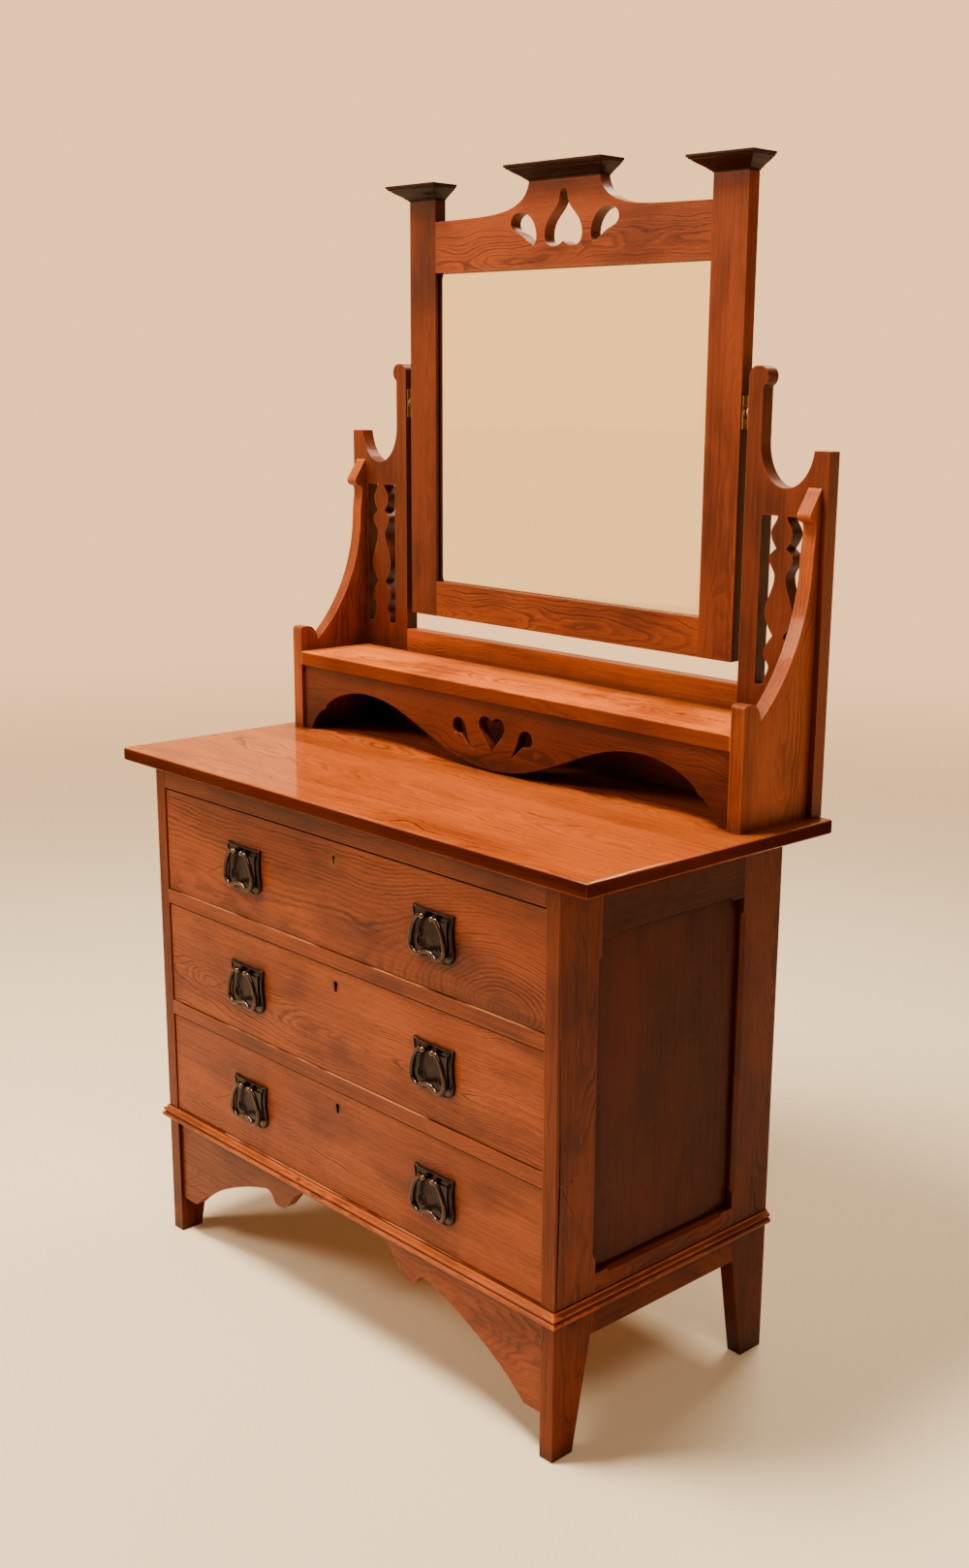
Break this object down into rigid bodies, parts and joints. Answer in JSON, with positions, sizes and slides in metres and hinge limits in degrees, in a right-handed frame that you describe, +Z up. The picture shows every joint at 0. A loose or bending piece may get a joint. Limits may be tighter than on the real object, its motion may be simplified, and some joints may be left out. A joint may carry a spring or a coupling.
{
  "type": "dressing chest",
  "caption": "Oak dressing chest: a panelled case with full-width drawers, a pierced gallery carrying a shelf, and a tilting mirror between shaped standards.",
  "frame": {"origin": "on the floor, under the middle of the object's bounding box", "axes": "+X to the right as seen from the front, -Y out of the front where the drawers open, +Z up"},
  "size_m": [0.99, 0.453, 1.619],
  "materials": {
    "oak": "waxed golden oak",
    "dark_oak": "waxed, darker oak",
    "pine": "bare pine",
    "bronze": "dark bronzed",
    "brass": "aged brass",
    "mirror": "bevelled, silvered"
  },
  "bodies": {
    "case": {"top_board": "oak", "front_post_left": "oak", "front_post_right": "oak", "back_post_left": "oak", "back_post_right": "oak", "side_top_rails": "oak", "side_bottom_rails": "oak", "side_panels": "dark_oak", "front_top_rail": "oak", "drawer_rails": "oak", "rail_pegs": "dark_oak", "front_apron": "oak", "front_moulding": "oak", "side_mouldings": "oak", "back_rails": "pine", "back_muntin": "pine", "back_panels": "pine", "drawer_runners": "pine", "drawer_stops": "pine", "gallery_side_left": "oak", "gallery_side_right": "oak", "standard_left": "oak", "standard_right": "oak", "gallery_back_rail": "oak", "shelf": "oak", "shelf_apron": "oak", "swivel_sockets": "brass"},
    "mirror": {"mirror_stile_left": "oak", "mirror_stile_right": "oak", "mirror_crest_rail": "oak", "mirror_bottom_rail": "oak", "mirror_post_caps": "dark_oak", "crest_cap": "dark_oak", "mirror_glass": "mirror", "mirror_back_board": "pine", "swivel_pins": "brass"},
    "top_drawer": {"top_drawer_front": "oak", "top_drawer_sides": "pine", "top_drawer_back": "pine", "top_drawer_bottom": "pine", "top_drawer_lock": "brass", "top_drawer_plates": "bronze"},
    "top_bail_left": {"top_bail_left": "bronze"},
    "top_bail_right": {"top_bail_right": "bronze"},
    "middle_drawer": {"middle_drawer_front": "oak", "middle_drawer_sides": "pine", "middle_drawer_back": "pine", "middle_drawer_bottom": "pine", "middle_drawer_lock": "brass", "middle_drawer_plates": "bronze"},
    "middle_bail_left": {"middle_bail_left": "bronze"},
    "middle_bail_right": {"middle_bail_right": "bronze"},
    "bottom_drawer": {"bottom_drawer_front": "oak", "bottom_drawer_sides": "pine", "bottom_drawer_back": "pine", "bottom_drawer_bottom": "pine", "bottom_drawer_lock": "brass", "bottom_drawer_plates": "bronze"},
    "bottom_bail_left": {"bottom_bail_left": "bronze"},
    "bottom_bail_right": {"bottom_bail_right": "bronze"}
  },
  "joints": [
    {"name": "mirror_tilt", "type": "hinge", "parent": "case", "child": "mirror", "pos_m": [0, 0.2155, 1.29], "axis": [1, 0, 0], "range_deg": [-25, 25]},
    {"name": "top_drawer_slide", "type": "slide", "parent": "case", "child": "top_drawer", "axis": [0, -1, 0], "range_m": [0, 0.3]},
    {"name": "top_left_bail_swing", "type": "hinge", "parent": "top_drawer", "child": "top_bail_left", "pos_m": [-0.208, -0.22, 0.67], "axis": [-1, 0, 0], "range_deg": [0, 80]},
    {"name": "top_right_bail_swing", "type": "hinge", "parent": "top_drawer", "child": "top_bail_right", "pos_m": [0.208, -0.22, 0.67], "axis": [-1, 0, 0], "range_deg": [0, 80]},
    {"name": "middle_drawer_slide", "type": "slide", "parent": "case", "child": "middle_drawer", "axis": [0, -1, 0], "range_m": [0, 0.3]},
    {"name": "middle_left_bail_swing", "type": "hinge", "parent": "middle_drawer", "child": "middle_bail_left", "pos_m": [-0.208, -0.22, 0.491], "axis": [-1, 0, 0], "range_deg": [0, 80]},
    {"name": "middle_right_bail_swing", "type": "hinge", "parent": "middle_drawer", "child": "middle_bail_right", "pos_m": [0.208, -0.22, 0.491], "axis": [-1, 0, 0], "range_deg": [0, 80]},
    {"name": "bottom_drawer_slide", "type": "slide", "parent": "case", "child": "bottom_drawer", "axis": [0, -1, 0], "range_m": [0, 0.3]},
    {"name": "bottom_left_bail_swing", "type": "hinge", "parent": "bottom_drawer", "child": "bottom_bail_left", "pos_m": [-0.208, -0.22, 0.312], "axis": [-1, 0, 0], "range_deg": [0, 80]},
    {"name": "bottom_right_bail_swing", "type": "hinge", "parent": "bottom_drawer", "child": "bottom_bail_right", "pos_m": [0.208, -0.22, 0.312], "axis": [-1, 0, 0], "range_deg": [0, 80]}
  ]
}
